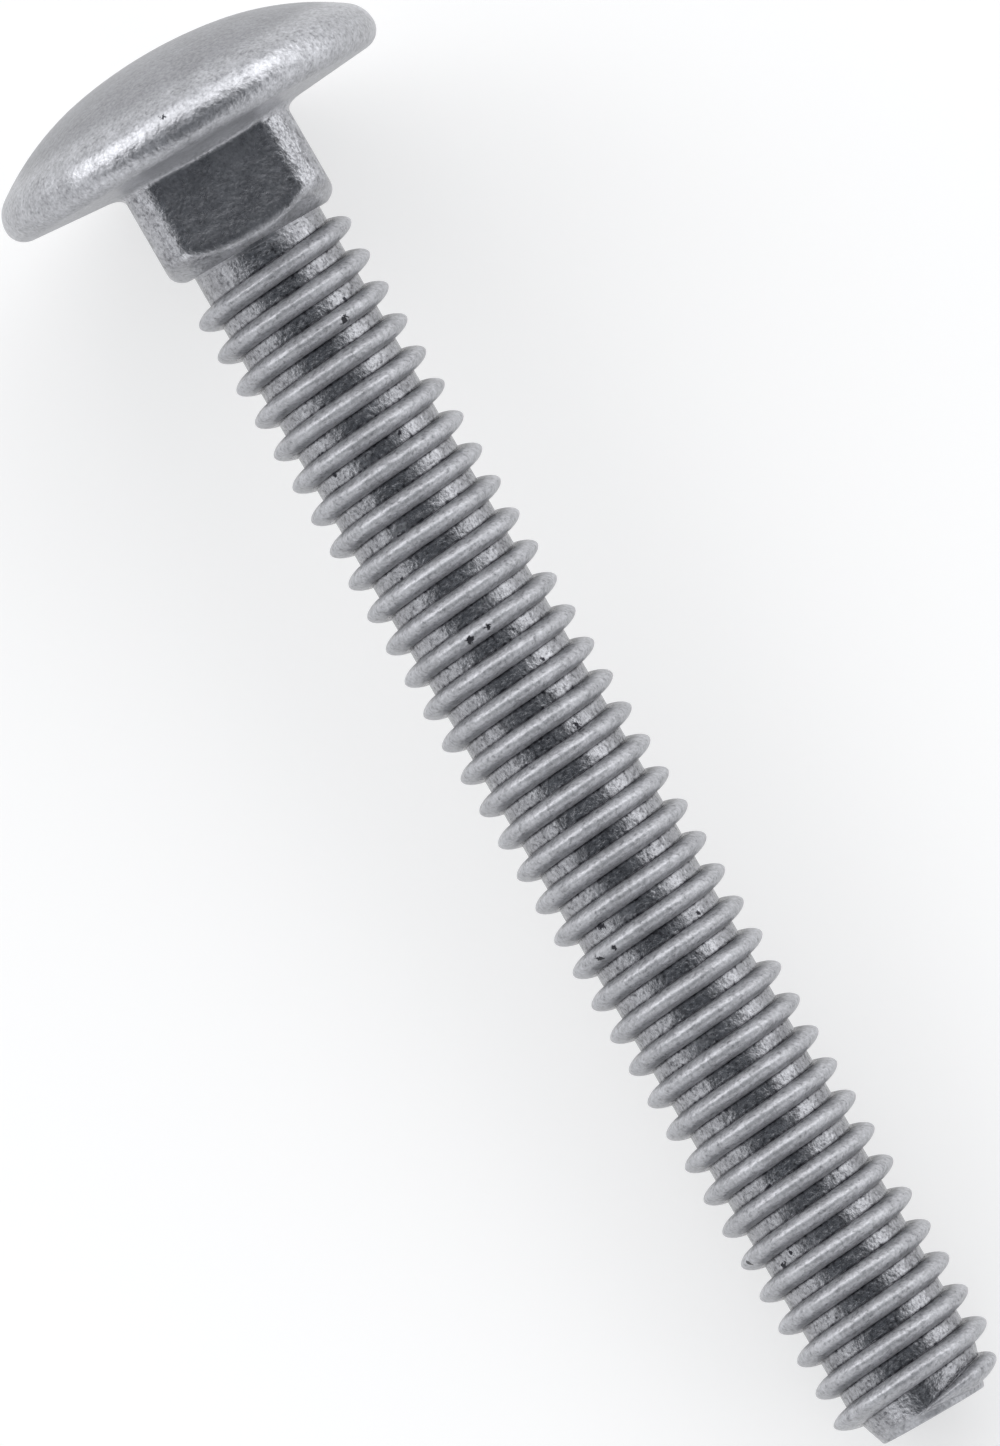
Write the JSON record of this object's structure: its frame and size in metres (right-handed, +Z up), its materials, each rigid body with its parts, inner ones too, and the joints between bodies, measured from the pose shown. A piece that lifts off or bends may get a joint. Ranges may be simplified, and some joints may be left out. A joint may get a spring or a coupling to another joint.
{
  "type": "carriage bolt",
  "caption": "Galvanised steel carriage bolt with a low domed round head, a square neck under it and a rolled coarse thread along the whole shank.",
  "frame": {"origin": "centre of the bounding box on the ground plane that the bolt lies on", "axes": "+X along the bolt from its head to its tip, which leans 4.8 degrees down from it because the head is wider than the shank; +Z up; one flat of the square neck faces up"},
  "size_m": [0.0534, 0.0144, 0.0144],
  "materials": {
    "galvanised_zinc": "dull mottled hot-dip galvanised zinc on steel"
  },
  "bodies": {
    "root": {"carriage_bolt": "galvanised_zinc"}
  },
  "joints": []
}
